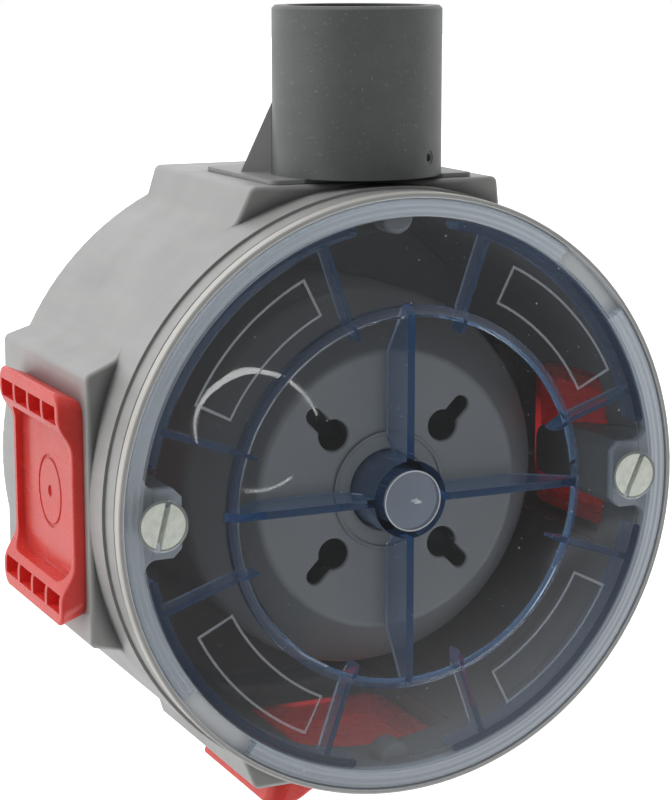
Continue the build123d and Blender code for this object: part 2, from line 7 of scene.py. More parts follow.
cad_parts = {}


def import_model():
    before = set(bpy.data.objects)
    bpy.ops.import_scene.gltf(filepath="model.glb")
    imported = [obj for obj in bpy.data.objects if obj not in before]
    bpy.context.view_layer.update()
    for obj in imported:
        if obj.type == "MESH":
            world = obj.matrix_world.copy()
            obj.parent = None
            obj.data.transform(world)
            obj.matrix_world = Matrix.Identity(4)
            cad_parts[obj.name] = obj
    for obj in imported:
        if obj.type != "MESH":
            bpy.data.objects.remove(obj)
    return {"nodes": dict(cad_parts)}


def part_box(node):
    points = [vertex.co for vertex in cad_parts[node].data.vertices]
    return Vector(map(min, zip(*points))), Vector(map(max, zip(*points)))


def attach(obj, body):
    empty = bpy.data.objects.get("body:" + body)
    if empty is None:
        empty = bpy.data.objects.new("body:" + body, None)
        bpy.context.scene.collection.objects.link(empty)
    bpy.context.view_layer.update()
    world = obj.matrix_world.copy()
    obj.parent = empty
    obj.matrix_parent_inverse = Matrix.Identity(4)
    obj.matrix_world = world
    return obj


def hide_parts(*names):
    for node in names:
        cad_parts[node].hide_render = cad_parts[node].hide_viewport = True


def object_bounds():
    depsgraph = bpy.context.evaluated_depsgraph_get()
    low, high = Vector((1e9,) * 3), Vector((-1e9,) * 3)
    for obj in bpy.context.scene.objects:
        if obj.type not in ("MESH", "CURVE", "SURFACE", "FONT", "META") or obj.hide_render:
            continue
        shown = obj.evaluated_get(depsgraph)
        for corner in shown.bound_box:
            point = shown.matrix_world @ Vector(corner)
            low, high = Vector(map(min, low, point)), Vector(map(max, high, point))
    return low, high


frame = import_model()
CAD_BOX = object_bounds()

MM = 0.001

# Camera: angles as seen from the front of the lid, lengths in metres
VIEW_AZIMUTH = math.radians(-24.75)
VIEW_ELEVATION = math.radians(11.02)
VIEW_DISTANCE = 0.30698
VIEW_RIGHT = -0.00985
VIEW_UP = 0.01328
LENS = 103.6
SENSOR = 36

# Box, in the frame
SCREW_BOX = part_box("right_lid_screw")
BAND_Y = SCREW_BOX[0].y
SCREW_X = (SCREW_BOX[0].x + SCREW_BOX[1].x) / 2
RIM_R = 41.0 * MM
LEDGE_DEPTH = 1.66 * MM
CAVITY_R = 37.8 * MM
SPOUT_DEPTH = 16.8 * MM
SPOUT_R = 11.5 * MM
DISC_R = 19.1 * MM
DISC_FRONT = 7.0 * MM
DISC_BACK = 9.0 * MM
KEYHOLE_RIM = 0.35 * MM
KEYHOLE_NEAR = 8.0 * MM
KEYHOLE_FAR = 17.6 * MM

# The clear lid, as in the frame
WINDOW_R = 26.1 * MM
WINDOW_TOP_R = 25.05 * MM
WINDOW_BACK = 0.3 * MM
BAND_BACK = 1.6 * MM
RIM_LINE_PITCH = 0.8 * MM
PANEL_NEAR = 28.4 * MM
PANEL_FAR = 34.4 * MM
ENGRAVED_FROM = 0.05 * MM
ENGRAVED_TO = 0.22 * MM
FILM_SOFT = 0.1 * MM
HUB_BORE_R = 4.0 * MM
HUB_R = 5.3 * MM

# Screw, as in the frame: a countersunk slotted head on a threaded shank
HEAD_R = (SCREW_BOX[1].x - SCREW_BOX[0].x) / 2
SHANK_R = 1.75 * MM
THREAD_DEPTH = 0.36 * MM
THREAD_PITCH = 1.3 * MM
THREAD_RAMP = 0.6 * MM
SCREW_LENGTH = SCREW_BOX[1].y - SCREW_BOX[0].y
HEAD_EDGE = 0.14 * MM
# Painted shadow ring on the head, as fractions of its radius
GAP_SHADOW_START = 0.90
GAP_SHADOW_END = 0.955
SCREW_STEPS = 72
THREAD_ROWS = 14
SLOT_WIDTH = 0.8 * MM
SLOT_DEPTH = 0.9 * MM
SLOT_BEVEL = 0.05 * MM
LEFT_SLOT_ANGLE = math.radians(76)
RIGHT_SLOT_ANGLE = math.radians(66)
HEAD_RINGS = 6
SMOOTH_ANGLE = math.radians(40)
BEVEL_ANGLE = math.radians(50)

# Colours of the object and of the light and shade painted on it, linear
BOX_GREY = (0.385, 0.39, 0.382)
INSIDE_SHADE_GREY = (0.24, 0.236, 0.234)
PEDESTAL_SHADE = (0.10, 0.10, 0.105)
LIP_HIGHLIGHT = (0.78, 0.75, 0.69)
LEDGE_PAINTED_LIGHT = (0.92, 0.94, 0.95)
KEYHOLE_SHADE_BLACK = (0.02, 0.02, 0.02)
SOCKET_GREY = (0.115, 0.121, 0.122)
WEB_PAINTED_LIGHT = (0.40, 0.405, 0.40)
PLUG_RED = (0.95, 0.085, 0.070)
PAINTED_GLOW_RED = (1.0, 0.045, 0.055)
THROUGH_RED = (1.0, 0.09, 0.07)
ZINC_DULL = (0.70, 0.75, 0.66)
ZINC_BRIGHT = (0.84, 0.87, 0.81)
ZINC_GRIT = (0.42, 0.44, 0.40)
GAP_SHADOW_BLACK = (0.06, 0.07, 0.06)
RIB_DYE = (0.10, 0.175, 0.31)
HUB_DYE = (0.06, 0.085, 0.135)
STEP_DYE = (0.055, 0.09, 0.17)
BAND_HAZE = (0.75, 0.75, 0.75)
RIM_HAZE_AND_SHEEN = (0.78, 0.84, 0.90)
LINE_LIGHT = (0.85, 0.90, 0.95)
FACE_FROST = (0.60, 0.66, 0.74)
CROWN_LIGHT = (0.95, 0.97, 1.0)
DUST = (0.85, 0.88, 0.90)
LID_CLEAR = (0.96, 0.97, 0.98)
LID_TINT = (0.52, 0.70, 0.88)
LID_DENSITY = 110

# Finish: scales in waves per metre, heights and widths in metres
BOX_GRAIN = 5200
SOCKET_GRAIN = 4600
PLUG_GRAIN = 5600
CLOUD_SCALE = 70
FLOW_SCALE = 420
WEAR_SCALE = 300
GLOSS_SCALE = 160
GRAIN_HEIGHT = 0.012 * MM
WORN_EDGE = 0.25 * MM
# strength of the painted glow of the plugs inside the box
PAINTED_GLOW_POWER = 0.38
THROUGH_SHARE = 0.22

# Studio
FLOOR_Z = CAD_BOX[0].z - 13 * MM      # leaves room to pull the bottom plug
FLOOR_HALF = 3.0
# The dark card behind the keyholes is painted shade.
CARD_GAP = 0.5 * MM
CARD_STEPS = 48
SHADE_CARD_BLACK = (0.012, 0.011, 0.012)
LAMP_IMAGE = Vector((-22.0 * MM, BAND_Y, 11.3 * MM))
LAMP_IMAGE_R = 7.6 * MM
LAMP_DISTANCE = 1.2
LAMP_STEPS = 64
LAMP_POWER = 9
FLOOR_WHITE = (0.82, 0.82, 0.82)
FLOOR_GLOW = 0.72
FRONT_AXIS = (0, -1, 0)
FRONT_LEVEL = 0.20
BRIGHT_AXIS = (-0.62, 0.25, 0.75)
PATCH_AXIS = (0.50, -0.55, -0.67)
PATCH_LEVEL = 2.6


# ---------------------------------------------------------------- shader helpers


def node(tree, kind, **values):
    """Adds a shader node and sets its attributes and unlinked inputs."""
    made = tree.nodes.new(kind)
    for key, value in values.items():
        if key in made.inputs:
            made.inputs[key].default_value = value
        else:
            setattr(made, key, value)
    return made


def link(tree, source, target):
    """Links an output, or a node's first output, to an input, or sets a number or colour."""
    if isinstance(source, (int, float)):
        target.default_value = source
    elif isinstance(source, tuple):
        target.default_value = (*source, 1)
    elif hasattr(source, "outputs"):
        tree.links.new(source.outputs[0], target)
    else:
        tree.links.new(source, target)


def new_material(name):
    """An empty node material, its tree and its Principled shader."""
    material = bpy.data.materials.new(name)
    material.use_nodes = True
    return material, material.node_tree, material.node_tree.nodes["Principled BSDF"]


def place(tree):
    """The point being shaded, in metres in the row frame of an object at the origin."""
    return node(tree, "ShaderNodeTexCoord").outputs["Object"]


def coordinate(tree, axis):
    """One coordinate of the point being shaded: "X", "Y" or "Z"."""
    parts = node(tree, "ShaderNodeSeparateXYZ")
    link(tree, place(tree), parts.inputs[0])
    return parts.outputs[axis]


def stretched(tree, scale, turn=(0, 0, 0)):
    """Object coordinates scaled, and turned, for streaks and scratches."""
    mapping = node(tree, "ShaderNodeMapping", Scale=scale, Rotation=turn)
    link(tree, place(tree), mapping.inputs["Vector"])
    return mapping


def noise(tree, scale, detail=2.0, vector=None, rough=0.5):
    """A noise value from 0 to 1; scale is in waves per metre."""
    made = node(tree, "ShaderNodeTexNoise", Scale=scale, Detail=detail, Roughness=rough)
    link(tree, vector or place(tree), made.inputs["Vector"])
    return made.outputs["Fac"]


def remap(tree, value, low, high, to_low=0.0, to_high=1.0, smooth=False):
    """Maps a range of a value to another range, clamped."""
    made = node(tree, "ShaderNodeMapRange")
    made.interpolation_type = "SMOOTHSTEP" if smooth else "LINEAR"
    link(tree, value, made.inputs["Value"])
    for key, number in zip(("From Min", "From Max", "To Min", "To Max"), (low, high, to_low, to_high)):
        made.inputs[key].default_value = number
    return made.outputs["Result"]


def maths(tree, kind, first, second=None):
    """A math node on two values or numbers."""
    made = node(tree, "ShaderNodeMath", operation=kind)
    for index, value in enumerate((first, second)):
        if value is not None:
            link(tree, value, made.inputs[index])
    return made.outputs[0]


def product(tree, *factors):
    """The product of several values or numbers."""
    result = factors[0]
    for factor in factors[1:]:
        result = maths(tree, "MULTIPLY", result, factor)
    return result


def blend_color(tree, factor, first, second):
    """Mixes two colours, given as tuples or outputs, by a factor."""
    made = node(tree, "ShaderNodeMix", data_type="RGBA")
    link(tree, factor, made.inputs["Factor"])
    link(tree, first, made.inputs[6])
    link(tree, second, made.inputs[7])
    return made.outputs[2]


def mix_shaders(tree, factor, first, second):
    """Mixes two shaders by a factor."""
    made = node(tree, "ShaderNodeMixShader")
    link(tree, factor, made.inputs[0])
    link(tree, first, made.inputs[1])
    link(tree, second, made.inputs[2])
    return made


def bump(tree, height, distance, strength=1.0, normal=None):
    """A bump normal from a height; distance is the height's size in metres."""
    made = node(tree, "ShaderNodeBump", Distance=distance, Strength=strength)
    link(tree, height, made.inputs["Height"])
    if normal is not None:
        link(tree, normal, made.inputs["Normal"])
    return made.outputs["Normal"]


def scratches(tree, scale, turn, threshold):
    """Sparse fine lines along one direction, 0 to 1."""
    fine = noise(tree, scale, 1.0, stretched(tree, (1, 0.03, 1), turn))
    return remap(tree, fine, threshold, threshold + 0.03)


def speckles(tree, scale, threshold):
    """Sparse small dots of dust, 0 to 1."""
    cells = node(tree, "ShaderNodeTexVoronoi", Scale=scale)
    link(tree, place(tree), cells.inputs["Vector"])
    dot = remap(tree, cells.outputs["Distance"], 0.10, 0.16, 1, 0)
    chance = node(tree, "ShaderNodeSeparateColor")
    link(tree, cells.outputs["Color"], chance.inputs[0])
    rare = maths(tree, "GREATER_THAN", chance.outputs[0], threshold)
    return maths(tree, "MULTIPLY", dot, rare)


def edge_mask(tree, radius):
    """1 on edges sharper than a radius, 0 on flat faces, with the rounded normal."""
    rounded = node(tree, "ShaderNodeBevel", Radius=radius, samples=6)
    flat = node(tree, "ShaderNodeNewGeometry")
    dot = node(tree, "ShaderNodeVectorMath", operation="DOT_PRODUCT")
    link(tree, rounded, dot.inputs[0])
    link(tree, flat.outputs["Normal"], dot.inputs[1])
    return remap(tree, dot.outputs["Value"], 0.99, 0.80), rounded.outputs["Normal"]


def distance(tree, across, along):
    """The distance from an axis, given two coordinates about it."""
    squares = maths(tree, "ADD", product(tree, across, across), product(tree, along, along))
    return maths(tree, "SQRT", squares)


def radius_from_axis(tree):
    """The distance from the box's central axis."""
    return distance(tree, coordinate(tree, "X"), coordinate(tree, "Z"))


def band_mask(tree, value, low, high, soft):
    """1 between two limits, fading over a soft width, 0 elsewhere."""
    rise = remap(tree, value, low - soft, low)
    fall = remap(tree, value, high, high + soft, 1, 0)
    return product(tree, rise, fall)


# ---------------------------------------------------------------- materials


def tone(color, gain, lift):
    """A colour scaled and raised, no brighter than white."""
    return tuple(min(1, c * gain + lift) for c in color)


def moulded_finish(tree, shader, color, rough, grain):
    """Colour, gloss, grain, flow marks, dust and worn edges of a moulded plastic."""
    cloud = remap(tree, noise(tree, CLOUD_SCALE, 4), 0.3, 0.7, -0.05, 0.05)
    flow = noise(tree, FLOW_SCALE, 3, stretched(tree, (1, 0.12, 1)))
    swirl = remap(tree, flow, 0.3, 0.7, -0.035, 0.035)
    shade = maths(tree, "ADD", 0.5, product(tree, maths(tree, "ADD", cloud, swirl), 4))
    base = blend_color(tree, shade, tone(color, 0.86, 0), tone(color, 1.12, 0.01))
    edges, rounded = edge_mask(tree, WORN_EDGE)
    worn = product(tree, edges, remap(tree, noise(tree, WEAR_SCALE, 3), 0.35, 0.65, 0.1, 0.55))
    base = blend_color(tree, worn, base, tone(color, 1.35, 0.03))
    dust = maths(tree, "MAXIMUM", speckles(tree, 2600, 0.95), speckles(tree, 1300, 0.985))
    across = scratches(tree, 2600, (0, 0.3, 0.9), 0.70)
    along = scratches(tree, 2100, (0.5, 0, -0.7), 0.71)
    lines = product(tree, maths(tree, "MAXIMUM", across, along), 0.45)
    marks = product(tree, maths(tree, "MAXIMUM", dust, lines), 0.45)
    base = blend_color(tree, marks, base, tone(color, 0.5, 0.38))
    link(tree, base, shader.inputs["Base Color"])
    patches = remap(tree, noise(tree, GLOSS_SCALE, 5), 0.3, 0.7, rough - 0.05, rough + 0.07)
    link(tree, maths(tree, "ADD", patches, marks), shader.inputs["Roughness"])
    relief = maths(tree, "ADD", noise(tree, grain, 3), product(tree, noise(tree, grain / 6, 2), 1.6))
    normal = bump(tree, relief, GRAIN_HEIGHT, 0.55, rounded)
    link(tree, normal, shader.inputs["Normal"])
    link(tree, 1.5, shader.inputs["IOR"])
    return base


def corner_shade(tree, base, reach, amount):
    """Darkens a colour in tight corners: painted shade, from ambient occlusion."""
    corner = node(tree, "ShaderNodeAmbientOcclusion", Distance=reach, samples=5)
    hollow = remap(tree, corner.outputs["AO"], 0.25, 0.95, amount, 1.0)
    return blend_color(tree, hollow, (0, 0, 0), base)


def keyhole_wall_shade(tree, radius, y):
    """The cut edges of the keyholes below their rounded rims, where black is painted as shade."""
    below = maths(tree, "GREATER_THAN", y, BAND_Y + DISC_FRONT + KEYHOLE_RIM)
    above = maths(tree, "LESS_THAN", y, BAND_Y + DISC_BACK)
    return product(tree, below, above, band_mask(tree, radius, KEYHOLE_NEAR, KEYHOLE_FAR, 0.2 * MM))


def box_plastic():
    """Light grey body plastic: satin outside, dull inside the box, with painted shade inside and
    painted light on lip and ledge.
    """
    material, tree, shader = new_material("box_grey_plastic")
    color = moulded_finish(tree, shader, BOX_GREY, 0.42, BOX_GRAIN)
    radius = radius_from_axis(tree)
    y = coordinate(tree, "Y")
    ledge_y = BAND_Y + LEDGE_DEPTH
    # Painted shade: inside the cavity, below the ledge, the grey is painted darker, and the pedestal's
    # slope darker still.
    within = remap(tree, radius, CAVITY_R + 0.6 * MM, CAVITY_R + 0.3 * MM)
    deep = remap(tree, y, ledge_y + 0.3 * MM, ledge_y + 1.6 * MM)
    inside = product(tree, within, deep)
    slope = product(tree, inside, remap(tree, radius, DISC_R, DISC_R + 0.6 * MM), 0.3)
    # Painted highlight: the lip round the rim is painted a warm white.
    rim_top = maths(tree, "LESS_THAN", y, ledge_y)
    lip = product(tree, rim_top, remap(tree, radius, RIM_R - 0.3 * MM, RIM_R), 0.55)
    # Painted light: the ledge and pads just under the lid are painted near white.
    ledge = remap(tree, radius, RIM_R - 0.5 * MM, RIM_R - 0.8 * MM)
    shelf = product(tree, ledge, maths(tree, "SUBTRACT", 1, deep), 0.95)
    zones = (
        (inside, INSIDE_SHADE_GREY),
        (slope, PEDESTAL_SHADE),
        (lip, LIP_HIGHLIGHT),
        (shelf, LEDGE_PAINTED_LIGHT),
        # painted shade: the keyhole walls are painted black
        (keyhole_wall_shade(tree, radius, y), KEYHOLE_SHADE_BLACK),
    )
    for zone, paint in zones:
        color = blend_color(tree, zone, color, paint)
    # Painted shade in tight corners.
    link(tree, corner_shade(tree, color, 2.2 * MM, 0.45), shader.inputs["Base Color"])
    return material


def socket_plastic():
    """Mid grey plastic of the conduit socket, with painted light on its thin plate and webs."""
    material, tree, shader = new_material("socket_grey_plastic")
    base = moulded_finish(tree, shader, SOCKET_GREY, 0.42, SOCKET_GRAIN)
    back = maths(tree, "SUBTRACT", coordinate(tree, "Y"), BAND_Y + SPOUT_DEPTH)
    reach = distance(tree, coordinate(tree, "X"), back)
    # Painted light: the plate and webs beside the spout are painted lighter.
    web = remap(tree, reach, SPOUT_R + 0.1 * MM, SPOUT_R + 0.3 * MM, 0, 0.65)
    link(tree, blend_color(tree, web, base, WEB_PAINTED_LIGHT), shader.inputs["Base Color"])
    return material


def plug_plastic():
    """Translucent red plastic of the blanking plugs, with a painted glow inside the box."""
    material, tree, shader = new_material("plug_red_plastic")
    moulded_finish(tree, shader, PLUG_RED, 0.26, PLUG_GRAIN)
    shader.inputs["Subsurface Weight"].default_value = 0.15
    shader.inputs["Subsurface Scale"].default_value = 1.0 * MM
    shader.inputs["Subsurface Radius"].default_value = (3.0, 0.5, 0.35)
    # Painted glow: the plugs' parts inside the cavity emit a little red light.
    within = remap(tree, radius_from_axis(tree), CAVITY_R + 0.5 * MM, CAVITY_R)
    link(tree, PAINTED_GLOW_RED, shader.inputs["Emission Color"])
    link(tree, product(tree, within, PAINTED_GLOW_POWER), shader.inputs["Emission Strength"])
    through = node(tree, "ShaderNodeBsdfTranslucent", Color=(*THROUGH_RED, 1))
    mixed = mix_shaders(tree, THROUGH_SHARE, shader, through)
    link(tree, mixed, tree.nodes["Material Output"].inputs["Surface"])
    return material


def zinc_plating():
    """Zinc plated steel with turning marks, a faint greenish passivation and a painted shadow ring
    near the head's edge.
    """
    material, tree, shader = new_material("zinc_plating")
    patches = remap(tree, noise(tree, 900, 5), 0.35, 0.65)
    base = blend_color(tree, patches, ZINC_DULL, ZINC_BRIGHT)
    grit = remap(tree, noise(tree, 5200, 4), 0.55, 0.75, 0, 0.35)
    base = blend_color(tree, grit, base, ZINC_GRIT)
    # Painted shadow: a dark ring near the head's edge, for the gap between head and lid.
    gap_shadow = band_mask(tree, radius_from_axis(tree), GAP_SHADOW_START * HEAD_R, GAP_SHADOW_END * HEAD_R, 0.08 * MM)
    base = blend_color(tree, product(tree, gap_shadow, 0.75), base, GAP_SHADOW_BLACK)
    link(tree, base, shader.inputs["Base Color"])
    shader.inputs["Metallic"].default_value = 0.35
    gloss = remap(tree, noise(tree, 2400, 4), 0.3, 0.7, 0.30, 0.52)
    link(tree, gloss, shader.inputs["Roughness"])
    rings = node(tree, "ShaderNodeTexWave", wave_type="RINGS", rings_direction="Y", Scale=1400)
    rings.inputs["Distortion"].default_value = 1.5
    link(tree, place(tree), rings.inputs["Vector"])
    relief = maths(tree, "ADD", rings.outputs["Fac"], noise(tree, 3600, 3))
    link(tree, bump(tree, relief, 0.008 * MM, 0.5), shader.inputs["Normal"])
    return material


def gate_star(tree):
    """The small frosted mark left by the mould's gate at the lid's centre."""
    wobble = node(tree, "ShaderNodeTexNoise", Scale=2600, Detail=3.0)
    link(tree, place(tree), wobble.inputs["Vector"])
    shift = node(tree, "ShaderNodeVectorMath", operation="MULTIPLY_ADD")
    link(tree, wobble.outputs["Color"], shift.inputs[0])
    shift.inputs[1].default_value = (0.9 * MM, 0, 0.9 * MM)
    link(tree, stretched(tree, (1, 0, 1)), shift.inputs[2])
    turned = node(tree, "ShaderNodeMapping", Scale=(0.55, 0, 1.7), Rotation=(0, math.radians(-38), 0))
    turned.inputs["Location"].default_value = (-0.25 * MM, 0, -0.75 * MM)
    link(tree, shift, turned.inputs["Vector"])
    length = node(tree, "ShaderNodeVectorMath", operation="LENGTH")
    link(tree, turned, length.inputs[0])
    return remap(tree, length.outputs["Value"], 0.26 * MM, 0.36 * MM, 1, 0)


def tinted_film(tree, surface, amount, color):
    """Mixes a little diffuse colour into a surface, for the dye and haze of thick plastic and for
    painted light.
    """
    frost = node(tree, "ShaderNodeBsdfDiffuse", Color=(*color, 1))
    return mix_shaders(tree, amount, surface, frost)


def lid_films(tree, surface):
    """Dye in ribs, hub and step, haze on the band, haze and a painted sheen on the rim, and light on
    lines and hub.
    """
    radius = radius_from_axis(tree)
    y = coordinate(tree, "Y")
    soft = FILM_SOFT
    in_window = remap(tree, radius, WINDOW_TOP_R, WINDOW_TOP_R - soft)
    back = remap(tree, in_window, 0, 1, BAND_Y + BAND_BACK + soft, BAND_Y + WINDOW_BACK + soft)
    behind = maths(tree, "GREATER_THAN", maths(tree, "SUBTRACT", y, back), 0)
    off_hub = remap(tree, radius, HUB_R - soft, HUB_R)
    at_hub = maths(tree, "SUBTRACT", 1, off_hub)
    step = band_mask(tree, radius, WINDOW_TOP_R, WINDOW_R, soft)
    band = remap(tree, radius, WINDOW_R, WINDOW_R + soft)
    rim = remap(tree, radius, CAVITY_R, CAVITY_R + soft)
    # Haze and painted sheen: the rim's film grows from left to right, standing in for light caught on
    # that side.
    haze_and_sheen_share = remap(tree, coordinate(tree, "X"), -RIM_R, RIM_R, 0.18, 0.60)
    wave = maths(tree, "SINE", product(tree, radius, 2 * math.pi / RIM_LINE_PITCH))
    lines = remap(tree, wave, -1, 1, 0.72, 1.28)
    cut = band_mask(tree, y, BAND_Y + ENGRAVED_FROM, BAND_Y + ENGRAVED_TO, 0.02 * MM)
    panel = band_mask(tree, radius, PANEL_NEAR, PANEL_FAR, soft)
    face = remap(tree, radius, HUB_BORE_R, HUB_BORE_R - soft)
    crown = band_mask(tree, radius, HUB_BORE_R, HUB_BORE_R + soft, soft)
    front = maths(tree, "LESS_THAN", y, BAND_Y)
    films = (
        (product(tree, behind, off_hub, 0.34), RIB_DYE),
        (product(tree, behind, at_hub, 0.40), HUB_DYE),
        (product(tree, step, 0.26), STEP_DYE),
        (product(tree, band, 0.02), BAND_HAZE),
        (product(tree, rim, haze_and_sheen_share, lines), RIM_HAZE_AND_SHEEN),
        (product(tree, panel, cut, 0.30), LINE_LIGHT),
        (product(tree, face, 0.20), FACE_FROST),
        (product(tree, crown, front, 0.6), CROWN_LIGHT),
    )
    for amount, color in films:
        surface = tinted_film(tree, surface, amount, color)
    return surface


def clear_plastic():
    """Clear polystyrene with a blue body tint, faint waviness, scuffs and dust."""
    material, tree, shader = new_material("clear_lid_plastic")
    link(tree, (1.0, 1.0, 1.0), shader.inputs["Base Color"])
    link(tree, 1.52, shader.inputs["IOR"])
    link(tree, 1, shader.inputs["Transmission Weight"])
    link(tree, remap(tree, noise(tree, 60, 4), 0.35, 0.7, 0.0, 0.04), shader.inputs["Roughness"])
    link(tree, bump(tree, noise(tree, 55, 1), 0.12 * MM, 0.3), shader.inputs["Normal"])
    across = scratches(tree, 3600, (0, 0.5, 0), 0.735)
    along = scratches(tree, 3000, (0, -0.9, 0.4), 0.745)
    scuff = product(tree, maths(tree, "MAXIMUM", across, along), 0.12)
    dust = maths(tree, "MAXIMUM", speckles(tree, 1800, 0.975), speckles(tree, 900, 0.992))
    film = maths(tree, "MAXIMUM", product(tree, dust, 0.4), scuff)
    film = maths(tree, "MAXIMUM", film, product(tree, gate_star(tree), 0.7))
    surface = tinted_film(tree, lid_films(tree, shader), film, DUST)
    path = node(tree, "ShaderNodeLightPath")
    soft = maths(tree, "MAXIMUM", path.outputs["Is Shadow Ray"], path.outputs["Is Diffuse Ray"])
    clear = node(tree, "ShaderNodeBsdfTransparent", Color=(*LID_CLEAR, 1))
    out = tree.nodes["Material Output"]
    link(tree, mix_shaders(tree, soft, surface, clear), out.inputs["Surface"])
    tint = node(tree, "ShaderNodeVolumeAbsorption", Color=(*LID_TINT, 1), Density=LID_DENSITY)
    link(tree, tint, out.inputs["Volume"])
    return material


def wear(node_name, material):
    """Gives a CAD node its finish."""
    mesh = frame["nodes"][node_name].data
    mesh.materials.clear()
    mesh.materials.append(material)


# ---------------------------------------------------------------- screws


def screw_outline():
    """(depth, radius, thread weight) rows of a countersunk screw, front to tip."""
    top = HEAD_R - HEAD_EDGE
    rows = [(0, top * k / HEAD_RINGS, 0) for k in range(1, HEAD_RINGS + 1)]
    for k in range(1, HEAD_RINGS + 1):
        turn = math.pi / 4 * k / HEAD_RINGS
        rows.append((HEAD_EDGE * (1 - math.cos(turn)), top + HEAD_EDGE * math.sin(turn) / 2, 0))
    cone = HEAD_R - SHANK_R
    rows.append((cone, SHANK_R - THREAD_DEPTH / 2, 0))
    count = int((SCREW_LENGTH - cone) / THREAD_PITCH * THREAD_ROWS)
    for k in range(1, count + 1):
        depth = cone + (SCREW_LENGTH - cone) * k / count
        ends = min(depth - cone, SCREW_LENGTH - depth) / THREAD_RAMP
        rows.append((depth, SHANK_R - max(0, 1 - ends) * THREAD_DEPTH, min(1, ends)))
    return rows


def screw_mesh(name):
    """A closed mesh of the screw about its own axis, with a helical thread."""
    work = bmesh.new()
    rows = screw_outline()
    rings = []
    for depth, radius, weight in rows:
        ring = []
        for k in range(SCREW_STEPS):
            phase = (depth / THREAD_PITCH - k / SCREW_STEPS) % 1
            valley = abs(2 * phase - 1) ** 0.8
            reach = radius - weight * THREAD_DEPTH * valley
            turn = 2 * math.pi * k / SCREW_STEPS
            ring.append(work.verts.new((reach * math.cos(turn), depth, reach * math.sin(turn))))
        rings.append(ring)
    front = work.verts.new((0, 0, 0))
    tip = work.verts.new((0, SCREW_LENGTH, 0))
    for k in range(SCREW_STEPS):
        after = (k + 1) % SCREW_STEPS
        work.faces.new((front, rings[0][after], rings[0][k]))
        work.faces.new((tip, rings[-1][k], rings[-1][after]))
        for near, far in zip(rings, rings[1:]):
            work.faces.new((near[k], near[after], far[after], far[k]))
    bmesh.ops.recalc_face_normals(work, faces=work.faces)
    mesh = bpy.data.meshes.new(name)
    work.to_mesh(mesh)
    work.free()
    return mesh


def slot_cutter(angle):
    """The block that cuts the driver slot."""
    work = bmesh.new()
    bmesh.ops.create_cube(work, size=1)
    size = Matrix.Diagonal((3 * HEAD_R, 2 * SLOT_DEPTH, SLOT_WIDTH, 1))
    bmesh.ops.transform(work, matrix=Matrix.Rotation(-angle, 4, "Y") @ size, verts=work.verts)
    mesh = bpy.data.meshes.new("slot_cutter")
    work.to_mesh(mesh)
    work.free()
    cutter = bpy.data.objects.new("slot_cutter", mesh)
    bpy.context.scene.collection.objects.link(cutter)
    return cutter


def lid_screw(side, x, slot_angle, material):
    """A slotted countersunk lid screw with rolled thread and softened edges."""
    blank = bpy.data.objects.new(side + "_screw_blank", screw_mesh(side + "_screw_blank"))
    bpy.context.scene.collection.objects.link(blank)
    cutter = slot_cutter(slot_angle)
    cut = blank.modifiers.new("slot", "BOOLEAN")
    cut.object = cutter
    cut.operation = "DIFFERENCE"
    cut.solver = "EXACT"
    soft = blank.modifiers.new("edges", "BEVEL")
    soft.width = SLOT_BEVEL
    soft.segments = 3
    soft.limit_method = "ANGLE"
    soft.angle_limit = BEVEL_ANGLE
    bpy.context.view_layer.update()
    cooked = blank.evaluated_get(bpy.context.evaluated_depsgraph_get())
    mesh = bpy.data.meshes.new_from_object(cooked)
    mesh.shade_smooth()
    mesh.set_sharp_from_angle(angle=SMOOTH_ANGLE)
    mesh.materials.clear()
    mesh.materials.append(material)
    bpy.data.objects.remove(blank)
    bpy.data.objects.remove(cutter)
    screw = bpy.data.objects.new(side + "_screw_model", mesh)
    screw.location = (x, BAND_Y, 0)
    bpy.context.scene.collection.objects.link(screw)
    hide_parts(side + "_lid_screw")
    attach(screw, side + "_screw")


# ---------------------------------------------------------------- stage


def camera():
    """The camera at the picture's angle."""
    data = bpy.data.cameras.new("camera")
    data.lens = LENS
    data.sensor_width = SENSOR
    eye = bpy.data.objects.new("camera", data)
    bpy.context.scene.collection.objects.link(eye)
    turn = Euler((math.pi / 2 - VIEW_ELEVATION, 0, VIEW_AZIMUTH), "XYZ").to_matrix()
    right, up, back = turn.col[0], turn.col[1], turn.col[2]
    target = Vector((0, BAND_Y, 0)) + VIEW_RIGHT * right + VIEW_UP * up
    seat = Matrix.Translation(target + VIEW_DISTANCE * back)
    eye.matrix_world = seat @ turn.to_4x4()
    bpy.context.scene.camera = eye


def stage_mesh(name, points, faces, material):
    """A mesh that belongs to the studio, not to the object."""
    mesh = bpy.data.meshes.new(name)
    mesh.from_pydata(points, [], faces)
    made = bpy.data.objects.new(name, mesh)
    bpy.context.scene.collection.objects.link(made)
    mesh.materials.append(material)
    return made


def floor_paint():
    """White floor that keeps only a faint shadow."""
    material, tree, shader = new_material("floor_white")
    link(tree, FLOOR_WHITE, shader.inputs["Base Color"])
    link(tree, 0.9, shader.inputs["Roughness"])
    link(tree, 0, shader.inputs["Specular IOR Level"])
    seen = node(tree, "ShaderNodeAddShader")
    link(tree, shader, seen.inputs[0])
    link(tree, node(tree, "ShaderNodeEmission", Strength=FLOOR_GLOW), seen.inputs[1])
    path = node(tree, "ShaderNodeLightPath")
    mixed = mix_shaders(tree, path.outputs["Is Camera Ray"], shader, seen)
    link(tree, mixed, tree.nodes["Material Output"].inputs["Surface"])
    return material


